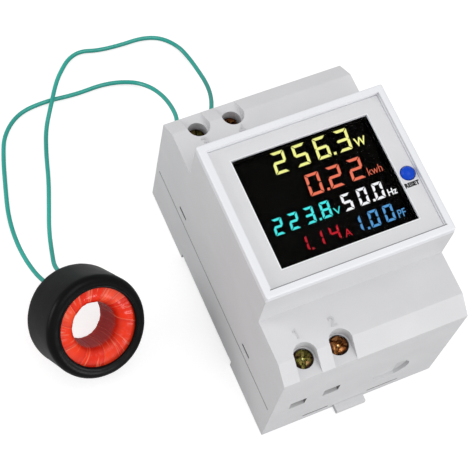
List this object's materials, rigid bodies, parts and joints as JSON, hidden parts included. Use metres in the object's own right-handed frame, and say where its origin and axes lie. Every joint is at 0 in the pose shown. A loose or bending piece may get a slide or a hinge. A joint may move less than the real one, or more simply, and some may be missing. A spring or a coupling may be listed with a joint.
{
  "type": "din rail energy meter",
  "caption": "Modular energy meter for a top-hat rail, with colour display, reset button, screw terminals and a ring current transformer on two wires.",
  "frame": {"origin": "middle of the meter's back, in the plane that the case rests on and that faces the rail", "axes": "+X to the right seen from the front, +Y towards the end with terminals 3 and 4, +Z out of the front"},
  "size_m": [0.1054, 0.1352, 0.0645],
  "materials": {
    "case_plastic": "satin light grey moulded plastic",
    "frame_plastic": "semi-gloss white moulded plastic",
    "label": "printed light grey sheet",
    "lens": "clear lens",
    "display": "black segment display",
    "black_plastic": "satin black plastic",
    "light_guide": "frosted light guide",
    "board": "green laminate",
    "steel": "plated steel",
    "screw_metal": "yellow zinc plated, iridescent",
    "copper": "bare copper",
    "blue_plastic": "glossy blue",
    "yellow_plastic": "yellow potting case",
    "can_metal": "sleeved aluminium can",
    "disc_coat": "blue epoxy",
    "cable_grey": "grey ribbon",
    "core_metal": "wound strip steel",
    "winding": "enamelled copper",
    "red_tape": "glossy red film tape",
    "sleeve": "black shrink sleeve",
    "wire_green": "green wire insulation"
  },
  "bodies": {
    "case": {"rear_case": "case_plastic", "upper_case": "case_plastic", "bezel_frame": "frame_plastic", "front_label": "label", "display_lens": "lens", "lcd_glass": "display", "lcd_tray": "black_plastic", "backlight": "light_guide", "lcd_pins": "steel", "display_board": "board", "display_screws": "steel", "switch_body": "black_plastic", "main_board": "board", "board_screws": "steel", "supply_capacitor": "yellow_plastic", "supply_transformer": "black_plastic", "metering_chip": "black_plastic", "rectifier_block": "black_plastic", "fuse_block": "black_plastic", "reservoir_can": "can_metal", "output_can": "can_metal", "surge_disc": "disc_coat", "burden_resistor": "disc_coat", "lower_header": "black_plastic", "upper_header": "black_plastic", "flat_cable": "cable_grey", "latch_spring": "steel", "ct_core": "core_metal", "ct_winding": "winding", "ct_tape": "red_tape", "ct_sleeve": "sleeve", "terminal_cage_1": "steel", "contact_bar_1": "copper", "terminal_cage_2": "steel", "contact_bar_2": "copper", "terminal_cage_3": "steel", "contact_bar_3": "copper", "terminal_cage_4": "steel", "contact_bar_4": "copper", "ct_wire_3": "wire_green", "wire_strand_3": "copper", "ct_wire_4": "wire_green", "wire_strand_4": "copper"},
    "reset": {"reset_button": "blue_plastic", "switch_plunger": "black_plastic"},
    "latch": {"din_latch": "case_plastic"},
    "plate_1": {"clamp_plate_1": "steel"},
    "screw_1": {"terminal_screw_1": "screw_metal"},
    "plate_2": {"clamp_plate_2": "steel"},
    "screw_2": {"terminal_screw_2": "screw_metal"},
    "plate_3": {"clamp_plate_3": "steel"},
    "screw_3": {"terminal_screw_3": "screw_metal"},
    "plate_4": {"clamp_plate_4": "steel"},
    "screw_4": {"terminal_screw_4": "screw_metal"}
  },
  "joints": [
    {"name": "reset_press", "type": "slide", "parent": "case", "child": "reset", "axis": [0, 0, -1], "range_m": [0, 0.0005], "stiffness_N_per_m": 800},
    {"name": "latch_pull", "type": "slide", "parent": "case", "child": "latch", "axis": [0, -1, 0], "range_m": [0, 0.0032], "stiffness_N_per_m": 1000, "deforming": ["latch_spring"]},
    {"name": "terminal_1_travel", "type": "slide", "parent": "case", "child": "plate_1", "axis": [0, 0, 1], "range_m": [-0.0036, 0]},
    {"name": "terminal_1_turn", "type": "hinge", "parent": "plate_1", "child": "screw_1", "pos_m": [-0.0192, -0.0349, 0.04], "axis": [0, 0, 1], "range_deg": [-2164, 0]},
    {"name": "terminal_2_travel", "type": "slide", "parent": "case", "child": "plate_2", "axis": [0, 0, 1], "range_m": [-0.0036, 0]},
    {"name": "terminal_2_turn", "type": "hinge", "parent": "plate_2", "child": "screw_2", "pos_m": [-0.009, -0.0349, 0.04], "axis": [0, 0, 1], "range_deg": [-2164, 0]},
    {"name": "terminal_3_travel", "type": "slide", "parent": "case", "child": "plate_3", "axis": [0, 0, 1], "range_m": [0, 0.0036]},
    {"name": "terminal_3_turn", "type": "hinge", "parent": "plate_3", "child": "screw_3", "pos_m": [-0.0192, 0.0349, 0.04], "axis": [0, 0, 1], "range_deg": [0, 2164]},
    {"name": "terminal_4_travel", "type": "slide", "parent": "case", "child": "plate_4", "axis": [0, 0, 1], "range_m": [0, 0.0036]},
    {"name": "terminal_4_turn", "type": "hinge", "parent": "plate_4", "child": "screw_4", "pos_m": [-0.009, 0.0349, 0.04], "axis": [0, 0, 1], "range_deg": [0, 2164]}
  ],
  "couplings": [
    {"joint": "terminal_1_turn", "follows": "terminal_1_travel", "rad_per_m": 10472},
    {"joint": "terminal_2_turn", "follows": "terminal_2_travel", "rad_per_m": 10472},
    {"joint": "terminal_3_turn", "follows": "terminal_3_travel", "rad_per_m": 10472},
    {"joint": "terminal_4_turn", "follows": "terminal_4_travel", "rad_per_m": 10472}
  ]
}
